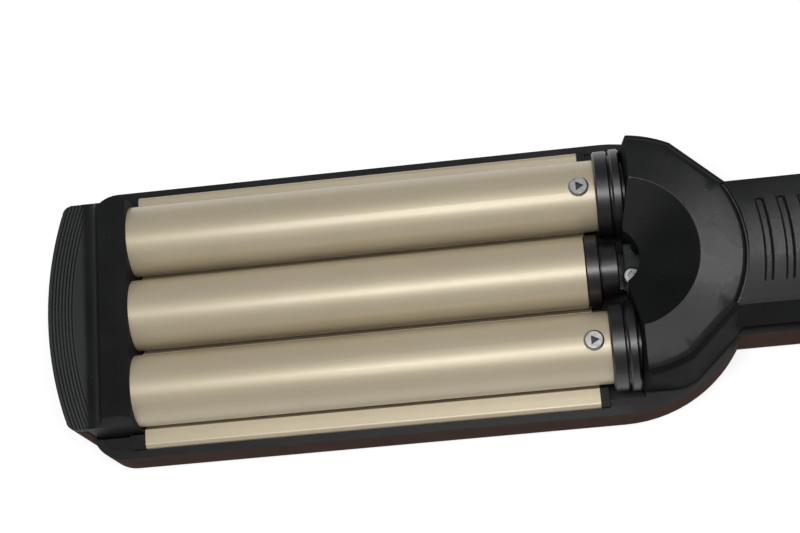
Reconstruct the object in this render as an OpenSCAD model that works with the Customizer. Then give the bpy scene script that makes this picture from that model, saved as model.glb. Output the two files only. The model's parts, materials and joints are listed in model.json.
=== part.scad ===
// Triple-barrel hair waver, closed, lying on its lower arm.
// +X runs from the tip to the swivel, +Y to the far side, +Z up. Millimetres.

/* [Barrels] */
// Outer diameter of each heated barrel
barrel_d = 20; // [19:0.5:20.5]
// Distance between neighbouring barrel axes
barrel_pitch = 21.8; // [21.4:0.1:22.6]
// Wall of a barrel tube
barrel_wall = 1.2; // [0.9:0.1:1.6]
// Exposed length of the two outer barrels
barrel_len = 131.7; // [110:1:160]
// How much sooner the middle barrel ends at the head
middle_set_back = 4.7; // [3:0.1:5.5]
// Depth of a barrel in its socket in the tip block
socket_depth = 8; // [6:0.5:9]
// Height of the barrel axes above the rest surface
barrel_z = 25; // [24.5:0.5:30]

/* [Lower jaw] */
// How far the tray reaches past the tip block on each side
tray_margin = 6.7; // [6.3:0.1:9.4]
// Corner radius of the tray in plan
tray_corner_r = 9; // [6:0.5:12]
// Radius of the rounding under both arms
belly_r = 2.5; // [2.5:0.5:6]
// Wall of the moulded housings
wall = 2.2; // [1.8:0.1:2.6]
// Depth of the rim below the barrel axes
rim_drop = 7.3; // [6.8:0.1:7.8]
// Depth of the deck below the rim
deck_drop = 1; // [0.6:0.1:1.4]
// Gap left for the hair between a barrel and the wave plate
hair_gap = 1.3; // [1:0.1:1.8]
// Thickness of the wave plate
plate_t = 1.3; // [1:0.1:1.6]
// Depth of the plate's side flanges below the barrel axes
flange_drop = 5.2; // [4.8:0.1:5.6]
// Length of the nose ahead of the tray
nose_reach = 8.4; // [6:0.5:10]

/* [Tip] */
// Length of the tip from its foremost point to the exposed barrels
tip_len = 23.8; // [22:0.2:27]
// Wall of the tip block beside the outer barrels
tip_cheek = 0.8; // [0.6:0.1:2.2]
// Radius of the tip's front arc in plan
tip_arc_r = 100; // [85:1:140]
// Height of the thumb ledge above the barrel axes
ledge_rise = 6.4; // [6:0.1:7]
// Height of the crest above the barrel axes
crest_rise = 11.6; // [11.2:0.1:13]
// Radius of the tip's front corners in plan
tip_corner_r = 3; // [2:0.5:5]
// Number of fine arc ridges on the thumb ledge
ridge_count = 7; // [4:1:8]
// Pitch of the fine arc ridges
ridge_pitch = 0.95; // [0.8:0.05:1.1]

/* [Head] */
// Length of the collars on the outer barrels
collar_len = 7.4; // [7:0.1:8]
// Radius of the collars on the outer barrels
collar_r = 12.5; // [11.5:0.1:12.6]
// Radius of the middle barrel's neck
neck_r = 7.6; // [7:0.1:7.8]
// Distance from the collars' back to the neck corner
head_len = 28.4; // [26:0.2:32]
// Radius of the upper head at its foot
head_r = 36.3; // [35.8:0.1:36.8]
// How far the outer collars stand out past the head's flat sides
collar_proud = 0.3; // [0:0.1:0.7]
// How much the head is flattened on its two rear diagonals
head_flat = 1.3; // [0.6:0.1:1.6]
// Height of the dished facet's rim above the barrel axes
head_rise = 17.2; // [16.8:0.1:18.2]
// Outer radius of the ring on top of the head
ring_r = 31.4; // [30.8:0.1:31.8]
// Angle at which the ring falls towards its edge
ring_fall = 3; // [1:0.5:4]
// Radius of the dished facet that faces the barrels
dish_r = 21.2; // [20:0.1:22]
// Depth of the dished facet at its centre
dish_depth = 6.6; // [6:0.1:7]
// Radius of the notch over the bracket screw
notch_r = 8.4; // [8.1:0.1:8.8]

/* [Handles] */
// Distance from the neck corner to the back of the lower housing
handle_len = 144; // [135:1:165]
// Half of the handles' width at the parting gap
handle_half_w = 20.7; // [20.2:0.1:22]
// Half of the upper handle's top between its creases
top_half_w = 17.1; // [16.6:0.1:18]
// Height of the upper handle's crown above the barrel axes
crown_rise = 16.2; // [15.5:0.1:16.6]
// Height of the upper handle's underside above the barrel axes
upper_gap = 3.5; // [3:0.1:4]
// Depth of the lower handle's rim below the barrel axes
lower_gap = 5; // [4.6:0.1:5.6]
// Number of grip slots across the upper handle
slot_count = 6; // [3:1:7]
// Pitch of the grip slots
slot_pitch = 5.65; // [5:0.05:6]
// Width of a grip slot
slot_w = 2.3; // [1.8:0.1:2.8]
// Depth of a grip slot
slot_depth = 0.9; // [0.6:0.1:1.2]

/* [Hinge and swivel] */
// Diameter of the hinge pin
pin_d = 4; // [3.5:0.1:4.5]
// Outer radius of the hinge cheeks
knuckle_r = 8.6; // [8:0.1:9]
// Half of the upper arm's hinge tongue
tongue_half_w = 13.6; // [12:0.1:14]
// Distance of the hinge axis ahead of the lower housing's back
hinge_inset = 18; // [17:0.5:22]
// Diameter of the cord's bore in the swivel collar
cord_bore_d = 6.6; // [5.5:0.1:7.5]
// Outer radius of the swivel collar
swivel_r = 7; // [6.6:0.1:7.6]
// Length of the swivel collar behind the housing
swivel_out = 12; // [9:0.5:16]

/* [Handle spring] */
// Mean radius of the handle spring's coil
spring_r = 3.4; // [3:0.1:3.8]
// Radius of the spring wire
spring_wire_r = 0.45; // [0.35:0.05:0.5]
// Working turns of the handle spring
spring_turns = 6; // [5:1:7]

/* [Buttons] */
// Diameter of the power button
power_d = 10; // [8:0.5:11]
// Diameter of the two temperature buttons
temp_d = 7.5; // [6:0.5:8.5]
// Travel of every button
button_travel = 0.7; // [0.5:0.1:0.8]
// Height of the buttons above the handle's crown
button_proud = 1; // [0.8:0.1:1.4]

/* [Clearances] */
// Running clearance of a piece that moves in a hole
run_gap = 0.15; // [0.1:0.01:0.2]
// Clearance of a shaft that turns in its bearing
shaft_gap = 0.06; // [0.03:0.01:0.09]
// Clearance between pieces that sit in each other
fit_gap = 0.05; // [0.03:0.01:0.1]
// Clearance between the two arms when closed
arm_gap = 0.3; // [0.3:0.05:0.5]

/* [Hidden] */
$fn = 96;
eps = 0.01;
big = 400;

barrel_r = barrel_d / 2;
bore_r = barrel_r - barrel_wall;

// Half widths
tip_half_w = barrel_pitch + barrel_r + tip_cheek;
tray_half_w = tip_half_w + tray_margin;
head_half_w = barrel_pitch + collar_r - collar_proud;

// Stations along the length, from the tip to the swivel
overall_len = tip_len + barrel_len + collar_len + head_len + handle_len + swivel_out;
x_nose = -overall_len / 2;
x_block = x_nose + tip_len;
x_end = x_block + barrel_len;
x_head = x_end + collar_len;
x_neck = x_head + head_len;
x_rear = x_neck + handle_len;
x_hinge = x_rear - hinge_inset;
x_tray = x_nose + nose_reach;
x_mid_end = x_end - middle_set_back;

// Heights
z_axis = barrel_z;
z_rim = z_axis - rim_drop;
z_deck = z_rim - deck_drop;
z_flange = z_axis - flange_drop;
z_upper = z_axis + upper_gap;
z_lower = z_axis - lower_gap;
z_hinge = (z_upper + z_lower) / 2;
z_ledge = z_axis + ledge_rise;
z_crest = z_axis + crest_rise;
z_crown = z_axis + crown_rise;
lip_t = 2.8;
z_lip = z_ledge - lip_t;

// The tray's inside
trough_r = barrel_r + hair_gap;
plate_half_w = tray_half_w - wall;
plate_x0 = x_block + 0.2;
plate_x1 = x_mid_end + 0.7;
block_len = 4.4;
recess_floor = z_axis - collar_r - 0.9;
head_x = x_head - 1.6;
head_roof = z_axis + head_rise - dish_depth - 1.7;
head_floor = z_axis - 4.4;
head_room_r = head_r - 4.3;
rim_centre = x_end + 2.5;
tip_floor = z_axis - barrel_r - 0.4;
tip_bottom = z_axis - barrel_r + 0.4;
tip_back = x_tray + 1.6;
cove_r = 5.2;
thread_gap = 0.02;
stub_r = 2.4;

function sides(n) = [for (i = [0:n - 1]) i];
barrel_sides = [1, 0, -1];

// Revolves a profile given as [x, r] points about a line along X at height z
module turned(points, y = 0, z = z_axis) {
  translate([0, y, z]) rotate([0, 90, 0]) rotate_extrude()
    polygon([for (p = points) [p[1], p[0]]]);
}

// A rod along X
module rod(x0, x1, r, y = 0, z = z_axis) {
  translate([x0, y, z]) rotate([0, 90, 0]) cylinder(r = r, h = x1 - x0);
}

module block(x0, x1, y0, y1, z0, z1) {
  translate([x0, y0, z0]) cube([x1 - x0, y1 - y0, z1 - z0]);
}

// A section drawn in [y, z], run along X
module run(x0, x1) {
  translate([x0, 0, 0]) rotate([90, 0, 90]) linear_extrude(x1 - x0) children();
}

// A side profile drawn in [x, z], run across Y
module across(half_w) {
  translate([0, half_w, 0]) rotate([90, 0, 0]) linear_extrude(2 * half_w) children();
}

// A closed prism on a [x, y] outline
module upright(z0, z1) {
  translate([0, 0, z0]) linear_extrude(z1 - z0) children();
}

// ---------------------------------------------------------------- lower arm

// Half section of a moulded pan, with its rounded belly, from the axis out to half_w
module pan_half(half_w, inset, top) {
  r = max(belly_r - inset, 0.3);
  w = half_w - inset;
  union() {
    translate([0, inset]) square([w - r, top - inset]);
    translate([0, inset + r]) square([w, top - inset - r]);
    translate([w - r, inset + r]) circle(r);
  }
}

// Full section of the pan
module pan_section(half_w, inset, top) {
  intersection() {
    union() {
      pan_half(half_w, inset, top);
      mirror([1, 0]) pan_half(half_w, inset, top);
    }
    translate([-big / 2, inset]) square([big, top - inset]);
  }
}

// A pan's round part: the half section turned about Z
module pan_round(x, y, radius, inset, top) {
  translate([x, y, 0]) rotate_extrude() intersection() {
    pan_half(radius, inset, top);
    square([radius, top]);
  }
}

// A pan's end wall, with the belly's rounding, between two round corners
module pan_end(x, half_w, depth, inset, top, side) {
  translate([x, half_w, 0]) rotate([90, 0, 0]) linear_extrude(2 * half_w)
    mirror([side < 0 ? 1 : 0, 0]) intersection() {
      pan_half(depth, inset, top);
      square([depth, top]);
    }
}

// Body of the tray and the lower head, shrunk on all sides by inset
module tray_body(inset, top) {
  corner_x = x_tray + tray_corner_r;
  corner_y = tray_half_w - tray_corner_r;
  run(corner_x, rim_centre) pan_section(tray_half_w, inset, top);
  pan_round(rim_centre, 0, tray_half_w, inset, top);
  pan_end(corner_x, corner_y, tray_corner_r, inset, top, -1);
  for (s = [-1, 1])
    pan_round(corner_x, s * corner_y, tray_corner_r, inset, top);
}

// Body of the lower handle, shrunk on all sides by inset
module handle_body(inset, top) {
  corner_x = x_rear - belly_r - 1;
  corner_y = handle_half_w - belly_r - 1;
  run(x_head + 8, corner_x) pan_section(handle_half_w, inset, top);
  pan_end(corner_x, corner_y, belly_r + 1, inset, top, 1);
  for (s = [-1, 1])
    pan_round(corner_x, s * corner_y, belly_r + 1, inset, top);
}

// Plan of the tip, shared by both arms: a shallow arc between straight sides, with rounded corners
module tip_plan(back, half_w, inset = 0) {
  r = tip_corner_r;
  w = half_w - inset;
  arc_r = tip_arc_r - inset;
  arc_x = x_nose + tip_arc_r;
  corner_x = arc_x - sqrt(pow(arc_r - r, 2) - pow(w - r, 2));
  intersection() {
    translate([arc_x, 0]) circle(arc_r, $fn = 240);
    translate([x_nose, -w + r]) square([back - x_nose, 2 * (w - r)]);
  }
  for (s = [-1, 1])
    translate([corner_x, s * (w - r)]) circle(r);
  translate([corner_x, -w]) square([back - corner_x, 2 * w]);
}

// Body of the nose: the tip's plan over the same rounded belly as the tray
module nose_body(inset, top) {
  intersection() {
    upright(inset, top) tip_plan(x_tray + 12, tip_half_w, inset);
    run(x_nose - 1, x_tray + 20) pan_section(tip_half_w, inset, top);
    translate([x_nose + tip_arc_r, 0, 0]) rotate_extrude($fn = 240) intersection() {
      pan_half(tip_arc_r, inset, top);
      square([tip_arc_r, top]);
    }
  }
}

// Places of the screws that hold the plate blocks from below
base_screw_y = 24;
base_x = [plate_x0 - block_len / 2 + 0.8, plate_x1 + 3.4];
base_spots = [for (x = base_x) for (s = [1, -1]) [x, s]];
boss_r = 2.9;
// The plate's rolled side lip, and the ledge that it stands on
lip_depth = 3.9;
ledge_w = 2.2;
base_head_r = 2.75;
base_shank_r = 1.5;
base_pocket = 2.4;
pad_h = 4.4;

// Places of the screws that hold the handle covers, from the neck corner and from the hinge
cover_screw_at = [10, 52];
cover_screw_back = 30;
cover_screw_x = [x_neck + cover_screw_at[0], x_neck + cover_screw_at[1], x_hinge - cover_screw_back];
cover_head_r = 2.5;
cover_head_h = 0.9;
cover_shank_r = 1.25;
cover_shank_len = 8;
cover_t = 1.8;
cover_margin = wall + fit_gap;
cover_x0 = x_neck + 2;
cover_x1 = x_hinge - knuckle_r - 3.2;

// The handle spring's seat, from the hinge
spring_back = 20;
x_spring = x_hinge - spring_back;
spring_cup_r = spring_r + spring_wire_r + 0.5;
spring_z0 = z_lower - 6;
spring_z1 = z_upper + 5;

// The lock slider's place, from the neck corner
lock_at = 74;
x_lock = x_neck + lock_at;
lock_travel = 7;
lock_w = 5;
hook_half_w = 3;
hook_reach = 1.8;
neck_half_w = 1.5;

module lower_shell() {
  color([0.13, 0.12, 0.12]) difference() {
    union() {
      difference() {
        union() {
          tray_body(0, z_rim);
          handle_body(0, z_lower);
          nose_body(0, z_lip - arm_gap);
          hinge_cheeks();
        }
        lower_hollow();
      }
      lower_bosses();
    }
    jaw_recesses();
    lower_holes();
  }
}

// The closed cavities under the deck and the open one under the handle cover
module lower_hollow() {
  deck_under = z_deck - wall;
  intersection() {
    tray_body(wall, deck_under);
    block(plate_x0 - block_len, x_end - 1.6, -big / 2, big / 2, 0, deck_under);
  }
  intersection() {
    tray_body(wall, recess_floor - wall);
    block(x_end - 1.7, x_neck + 1, -big / 2, big / 2, 0, recess_floor - wall);
  }
  intersection() {
    tray_body(wall, deck_under);
    block(x_head + 2.6, x_neck + 6, -big / 2, big / 2, 0, deck_under);
  }
  intersection() {
    nose_body(wall, tip_floor - wall);
    block(x_nose, plate_x0 - block_len - wall, -tip_half_w + 4, tip_half_w - 4, 0, tip_floor);
  }
  intersection() {
    handle_body(wall, z_lower + 1);
    block(x_neck - 4, x_hinge - knuckle_r - wall, -big / 2, big / 2, 0, z_lower - cover_t - 0.3);
  }
  block(cover_x0, cover_x1, -handle_half_w + wall, handle_half_w - wall, z_lower - cover_t - 0.3, z_lower + 1);
}

// Cheeks that carry the pin, one on each side of the tongue
module hinge_cheeks() {
  for (s = [-1, 1])
    intersection() {
      translate([0, s * (tongue_half_w + arm_gap + handle_half_w) / 2, 0])
        across((handle_half_w - tongue_half_w - arm_gap) / 2)
          union() {
            translate([x_hinge, z_hinge]) circle(knuckle_r);
            translate([x_hinge - knuckle_r, z_hinge - knuckle_r - 4]) square([2 * knuckle_r, knuckle_r + 4]);
          }
      block(x_hinge - 30, x_rear, -handle_half_w, handle_half_w, 0, big);
    }
}

module lower_bosses() {
  for (p = base_spots)
    translate([p[0], p[1] * base_screw_y, wall - eps]) cylinder(r = base_head_r + 1.6, h = pad_h - wall + eps);
  for (x = cover_screw_x)
    translate([x, 0, wall - eps]) cylinder(r = 3.4, h = z_lower - cover_t - 0.3 - wall + eps);
  // Cup under the handle spring
  translate([x_spring, 0, wall - eps]) cylinder(r = spring_cup_r + 1.6, h = z_lower - cover_t - 0.3 - wall);
  // Ribs across the handle's floor
  for (x = [x_neck + 30, x_lock - 14, x_lock + 12])
    block(x, x + 1.4, -handle_half_w + wall - eps, handle_half_w - wall + eps, wall - eps, wall + 5);
}

// What the upper jaw sinks into
module jaw_recesses() {
  // The wave plate and its two end blocks
  block(plate_x0 - block_len, x_end - 1.6, -plate_half_w, plate_half_w, z_flange - lip_depth, z_rim + 30);
  block(plate_x0 - block_len, x_end - 1.6, -plate_half_w + ledge_w, plate_half_w - ledge_w, z_axis - 18, z_rim);
  // The tip block
  block(tip_back - 0.6, plate_x0 - block_len + eps, -tip_half_w - 0.5, tip_half_w + 0.5, tip_floor, z_rim + 30);
  block(tip_back - 0.6, x_end, -tray_half_w - 1, tray_half_w + 1, z_rim, z_rim + 30);
  // The collars
  block(x_end - 1.7, x_head + 1, -barrel_pitch - collar_r - 0.4, barrel_pitch + collar_r + 0.4,
    recess_floor, z_rim + 1);
  // The deck on both ends of the tray, inside the rim
  intersection() {
    tray_body(wall + 0.2, z_rim + 1);
    union() {
      block(tip_back, plate_x0 - block_len + eps, -big / 2, big / 2, z_deck, z_rim + 1);
      block(x_end - 1.7, x_neck - 4, -big / 2, big / 2, z_deck, z_rim + 1);
    }
  }
}

module lower_holes() {
  for (p = base_spots) {
    translate([p[0], p[1] * base_screw_y, -1]) cylinder(r = base_head_r + 0.3, h = base_pocket + 1);
    translate([p[0], p[1] * base_screw_y, -1]) cylinder(r = base_shank_r + 0.15, h = pad_h + 2);
  }
  for (x = cover_screw_x)
    translate([x, 0, z_lower - cover_t - 9]) cylinder(r = cover_shank_r + thread_gap, h = 9);
  translate([x_spring, 0, spring_z0]) cylinder(r = spring_cup_r, h = 20);
  // The pin's seats in the cheeks
  translate([x_hinge, handle_half_w + 1, z_hinge]) rotate([90, 0, 0])
    cylinder(d = pin_d + 2 * thread_gap, h = 2 * handle_half_w + 2);
  // Room for the tongue to turn in
  translate([0, 0, 0]) across(tongue_half_w + arm_gap) translate([x_hinge, z_hinge]) circle(knuckle_r + 0.4);
  block(x_hinge - knuckle_r - 0.4, x_hinge + 1, -tongue_half_w - arm_gap, tongue_half_w + arm_gap, z_hinge, 60);
  // The swivel collar's bearing
  rod(x_rear - swivel_seat_len - 0.3, x_rear + 1, swivel_r + shaft_gap, 0, z_swivel);
  rod(x_rear - swivel_wall - swivel_flange_t - 0.3, x_rear - swivel_wall, swivel_flange_r + arm_gap, 0, z_swivel);
}

module lower_cover() {
  color([0.16, 0.16, 0.17]) difference() {
    union() {
      block(cover_x0 + fit_gap, cover_x1 - fit_gap, -handle_half_w + cover_margin, handle_half_w - cover_margin,
        z_lower - 0.3 - cover_t, z_lower - 0.3);
      // Collar round the spring's cup
      translate([x_spring, 0, z_lower - 0.3 - eps]) cylinder(r = spring_cup_r + 1.4, h = 1.2);
    }
    for (x = cover_screw_x) {
      translate([x, 0, z_lower - 0.3 - 1]) cylinder(r = cover_head_r + 0.2, h = 2);
      translate([x, 0, z_lower - 5]) cylinder(r = cover_shank_r + 0.15, h = 6);
    }
    translate([x_spring, 0, z_lower - 5]) cylinder(r = spring_cup_r, h = 8);
    block(x_lock - lock_travel - 0.3, x_lock + lock_w + 0.3, -3.3, 3.3, z_lower - 5, z_lower + 1);
  }
}

// Section of the wave plate: three troughs under the barrels, two ridges between them, and rolled side flanges
module wave_section() {
  channel_w = 7.2;
  channel_top = -trough_r - plate_t - 0.6;
  lip_x = plate_half_w - fit_gap;
  ridge_cut = -flange_drop + 0.9;
  translate([0, z_axis]) difference() {
    union() {
      for (k = barrel_sides)
        translate([k * barrel_pitch, 0]) circle(trough_r + plate_t);
      for (s = [-1, 1]) {
        // Side flange with its rolled lip
        translate([s > 0 ? barrel_pitch : -lip_x + plate_t, -flange_drop - plate_t])
          square([lip_x - plate_t - barrel_pitch, plate_t]);
        translate([s * (lip_x - plate_t), -flange_drop - plate_t]) circle(plate_t);
        translate([s > 0 ? lip_x - plate_t : -lip_x, -flange_drop - lip_depth])
          square([plate_t, lip_depth - plate_t]);
        // Rail of the heater's channel
        translate([s > 0 ? channel_w : -channel_w - plate_t, channel_top - 3.6]) square([plate_t, 5]);
      }
      translate([-channel_w - plate_t, channel_top]) square([2 * (channel_w + plate_t), 2]);
    }
    for (k = barrel_sides)
      translate([k * barrel_pitch, 0]) circle(trough_r);
    // Flat tops of the ridges, and the open side of every trough
    translate([-barrel_pitch - trough_r / 2, ridge_cut]) square([2 * barrel_pitch + trough_r, 30]);
    translate([-big / 2, -flange_drop]) square([big, 30]);
  }
}

module wave_plate() {
  color([0.78, 0.72, 0.62]) run(plate_x0, plate_x1) wave_section();
}

// End block of the wave plate: a saddle that clears the barrels, with raised shoulders beside the flanges
module plate_block(x0, x1) {
  block(x0, x1, -plate_half_w + fit_gap, plate_half_w - fit_gap, z_flange - lip_depth, z_flange);
  block(x0, x1, -plate_half_w + ledge_w + fit_gap, plate_half_w - ledge_w - fit_gap, z_axis - 18, z_flange);
}

// Bosses that stand on the floor and take the screws from below
module plate_boss(x) {
  for (s = [-1, 1])
    translate([x, s * base_screw_y, pad_h]) cylinder(r = boss_r, h = z_axis - 16 - pad_h);
}

module plate_boss_holes(x) {
  for (s = [-1, 1])
    translate([x, s * base_screw_y, pad_h - 1]) cylinder(r = base_shank_r + thread_gap, h = 4.2);
}

module plate_block_tip() {
  x0 = plate_x0 - block_len + fit_gap;
  color([0.1, 0.1, 0.1]) difference() {
    union() {
      plate_block(x0, plate_x0);
      plate_boss(base_x[0]);
    }
    block(x0 - 1, plate_x0 + 1, -tip_half_w - 0.5, tip_half_w + 0.5, tip_floor, z_axis);
    plate_boss_holes(base_x[0]);
  }
}

module plate_block_head() {
  x0 = plate_x1;
  x1 = x_end - 1.6 - fit_gap;
  color([0.1, 0.1, 0.1]) difference() {
    union() {
      plate_block(x0, x1);
      plate_boss(base_x[1]);
      block(x0, base_x[1], -base_screw_y - boss_r, base_screw_y + boss_r, z_axis - 20, z_axis - 17);
    }
    for (k = barrel_sides)
      rod(x0 - 1, x1 + 5, trough_r, k * barrel_pitch);
    block(x0 - 1, x1 + 1, -barrel_pitch, barrel_pitch, z_flange - 0.6, z_axis);
    plate_boss_holes(base_x[1]);
  }
}

// Where the heaters start and stop, from both ends of the exposed barrels
heater_front = 28;
heater_back = 27.7;
heater_x0 = x_block + heater_front;
heater_x1 = x_end - heater_back;
heater_t = 2.4;
plate_heater_half_w = 6.9;
z_channel = z_axis - trough_r - plate_t - 0.6;

module plate_heater() {
  color([0.92, 0.9, 0.85]) block(heater_x0, heater_x1, -plate_heater_half_w, plate_heater_half_w,
    z_channel - heater_t, z_channel - fit_gap);
}

// Bowed steel strip that presses the heater up into its channel
module heater_clamp() {
  top = z_channel - heater_t - fit_gap;
  color([0.7, 0.7, 0.72]) union() {
    block(heater_x0 + 4, heater_x1 - 4, -5.5, 5.5, top - 0.6, top);
    for (x = [heater_x0 + 14, heater_x1 - 20])
      block(x, x + 6, -7.2 + fit_gap, 7.2 - fit_gap, top - 0.6, top);
  }
}

module thermal_fuse() {
  z = z_channel - heater_t - fit_gap - 0.6 - 1.9;
  color([0.75, 0.7, 0.55]) union() {
    rod(heater_x0 + 34, heater_x0 + 45, 1.85, 0, z);
    rod(heater_x0 + 28, heater_x0 + 51, 0.5, 0, z);
  }
}

// A pan-head screw along +Z, from the top of its head down
module screw(head_r, head_h, shank_r, shank_len) {
  rotate_extrude() polygon([[0, 0], [head_r - 0.5, 0], [head_r, -0.5], [head_r, -head_h], [shank_r, -head_h],
    [shank_r, -head_h - shank_len + 0.6], [0, -head_h - shank_len]]);
}

module base_screws() {
  color("silver") for (p = base_spots)
    translate([p[0], p[1] * base_screw_y, 0.5]) mirror([0, 0, 1]) difference() {
      screw(base_head_r, base_pocket - 0.5, base_shank_r, 4.8);
      translate([0, 0, -1]) cylinder(r = 1.2, h = 2, $fn = 4);
    }
}

module cover_screws() {
  color("silver") for (x = cover_screw_x)
    translate([x, 0, z_lower - 0.4]) difference() {
      screw(cover_head_r, cover_head_h, cover_shank_r, cover_shank_len);
      translate([0, 0, -0.6]) cylinder(r = 1.1, h = 2, $fn = 4);
    }
}

// ---------------------------------------------------------------- upper arm

shoulder_r = 3.8;
shoulder_x = ring_r - 1.1;
ring_slope = tan(ring_fall);
shoulder_z = z_axis + head_rise - (ring_r - dish_r) * ring_slope - 3.67;

// Half outline of the head's side, open upwards: a wall that leans in and a round shoulder
module head_side() {
  above = z_axis + head_rise + 3;
  polygon([[0, head_floor], [head_r - 0.6, head_floor], [head_r, head_floor + 0.8],
    [shoulder_x + shoulder_r - 0.03, shoulder_z + 0.45], [shoulder_x, shoulder_z], [shoulder_x, above], [0, above]]);
  translate([shoulder_x, shoulder_z]) circle(shoulder_r);
}

// Half profile of the upper head, under a ring that falls from the facet's rim to the shoulder
module head_profile() {
  inner = 6;
  rim_z = z_axis + head_rise;
  reach = head_r + 5;
  intersection() {
    head_side();
    polygon([[0, head_floor], [reach, head_floor], [reach, rim_z - (reach - dish_r) * ring_slope],
      [dish_r - inner, rim_z + inner * ring_slope], [0, rim_z + inner * ring_slope]]);
  }
}

// A bar along X with the head's side on both edges, drawn in by the flats
module head_bar() {
  run(-big / 4, big / 4) for (s = [0, 1])
    mirror([s, 0]) translate([-head_flat, 0]) head_side();
}

// The upper head: the profile turned about Z, flattened on its rear diagonals, with flat sides and a front that leans
module head_form() {
  corner = 2.4;
  lean = 7;
  diagonal = 43;
  intersection() {
    translate([head_x, 0, 0]) rotate_extrude($fn = 180) head_profile();
    translate([head_x, 0, 0]) rotate([0, 0, diagonal]) head_bar();
    translate([head_x, 0, 0]) rotate([0, 0, -diagonal]) head_bar();
    union() {
      translate([x_head - 0.4, 0, z_axis]) rotate([0, lean, 0]) translate([0, 0, -30]) linear_extrude(60) {
        translate([corner, -head_half_w]) square([60, 2 * head_half_w]);
        translate([0, -head_half_w + corner]) square([60, 2 * (head_half_w - corner)]);
        for (s = [-1, 1])
          translate([corner, s * (head_half_w - corner)]) circle(corner);
      }
      upright(0, 80) head_brow();
    }
  }
}

// The brow over the middle barrel, a little ahead of the rest of the front
module head_brow() {
  x0 = x_head - 1.1;
  polygon([[x0, -8.6], [x0, 8.6], [x_head + 1.5, barrel_pitch - 1.4], [x_head + 12, barrel_pitch - 1.4],
    [x_head + 12, -barrel_pitch + 1.4], [x_head + 1.5, -barrel_pitch + 1.4]]);
}

// Radius of the handle's crowned top
crown_r = 200;

// Section of the upper handle: leaning sides under a crowned top
module handle_section(inset) {
  intersection() {
    polygon([[-handle_half_w + inset, z_upper - 1], [-top_half_w + 0.2 + inset, z_crown + 0.6 - inset],
      [top_half_w - 0.2 - inset, z_crown + 0.6 - inset], [handle_half_w - inset, z_upper - 1]]);
    translate([0, z_crown - crown_r]) circle(crown_r - inset, $fn = 360);
    translate([-60, z_upper]) square([120, 40]);
  }
}

// Side profile of the upper handle, from the neck to the rounded end over the hinge
module handle_side(inset) {
  drop = 3;
  union() {
    polygon([[x_head + 8, z_upper - 1], [x_head + 8, z_crown + 1 - inset], [x_neck + 50, z_crown + 1 - inset],
      [x_hinge - 24, z_crown - 0.4 - inset], [x_hinge - knuckle_r - 1.4 - inset, z_crown - drop - inset],
      [x_hinge - knuckle_r - 1.4 - inset, z_upper - 1]]);
  }
}

// The first grip slot's place from the neck corner, and the slots' arc
slot_at = 8.2;
slot_x = x_neck + slot_at;
slot_arc_r = 60;
slot_half = 11.6;

// One grip slot, an arc with round ends, sunk along the crown
module grip_slot(x) {
  angle = asin((slot_half - slot_w / 2) / slot_arc_r);
  translate([x - slot_arc_r, 0, z_crown - 4]) {
    intersection() {
      difference() {
        cylinder(r = slot_arc_r + slot_w / 2, h = 8, $fn = 360);
        translate([0, 0, -1]) cylinder(r = slot_arc_r - slot_w / 2, h = 10, $fn = 360);
      }
      translate([0, -slot_half + slot_w / 2, 0]) cube([80, 2 * slot_half - slot_w, 8]);
    }
    for (s = [-1, 1])
      rotate([0, 0, s * angle]) translate([slot_arc_r, 0, 0]) cylinder(d = slot_w, h = 8);
  }
}

module grip_slots() {
  difference() {
    for (i = sides(slot_count)) grip_slot(slot_x + i * slot_pitch);
    run(x_neck, x_neck + 70) translate([0, z_crown - crown_r]) circle(crown_r - slot_depth, $fn = 360);
  }
}

// Places of the controls on the upper handle, from the neck corner
lens_at = 46;
warmer_at = 60;
cooler_at = 70;
power_at = 84;
x_lens = x_neck + lens_at;
x_warmer = x_neck + warmer_at;
x_cooler = x_neck + cooler_at;
x_power = x_neck + power_at;
shell_roof = z_crown - wall;
board_z = z_axis + 8.4;
board_t = 1.6;
board_half_w = 12.5;
board_x0 = x_lens - 8;
board_x1 = x_spring - spring_cup_r - 3.65;
z_liner_top = z_upper + 0.3 + cover_t;
lens_len = 12;
lens_w = 5;

module lens_shape(grow, z0, z1) {
  for (s = [-1, 1])
    translate([x_lens + s * (lens_len - lens_w) / 2, 0, z0]) cylinder(d = lens_w + 2 * grow, h = z1 - z0);
  block(x_lens - (lens_len - lens_w) / 2, x_lens + (lens_len - lens_w) / 2, -lens_w / 2 - grow,
    lens_w / 2 + grow, z0, z1);
}

module upper_shell() {
  color([0.17, 0.18, 0.19]) difference() {
    union() {
      difference() {
        union() {
          head_form();
          intersection() {
            run(x_head + 8, x_rear) handle_section(0);
            across(big / 2) handle_side(0);
          }
          hinge_tongue();
        }
        upper_hollow();
      }
      upper_bosses();
    }
    head_cuts();
    grip_slots();
    upper_holes();
  }
}

// The tongue that turns on the pin between the cheeks
module hinge_tongue() {
  across(tongue_half_w) union() {
    translate([x_hinge, z_hinge]) circle(knuckle_r);
    polygon([[x_hinge - knuckle_r - 6, z_upper + 2], [x_hinge - knuckle_r - 6, z_crown - 3.1],
      [x_hinge - knuckle_r - 1.4, z_crown - 3.3], [x_hinge + 1.4, z_hinge + knuckle_r - 0.1], [x_hinge, z_hinge],
      [x_hinge - knuckle_r + 0.6, z_upper + 0.2]]);
  }
}

module upper_hollow() {
  // Head: a round room behind its front wall
  intersection() {
    translate([head_x, 0, z_axis - 10]) cylinder(r = head_room_r, h = head_roof - z_axis + 10);
    block(x_head + 2.1, x_neck + 20, -60, 60, 0, 80);
  }
  intersection() {
    run(x_head + 10, cover_x1) handle_section(wall);
    across(big / 2) handle_side(wall);
    block(x_head + 10, cover_x1, -60, 60, 0, 80);
  }
  block(x_neck - 6, cover_x1, -top_half_w - 1, top_half_w + 1, z_upper - 1, z_upper + cover_t + 0.3);
}

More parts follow.
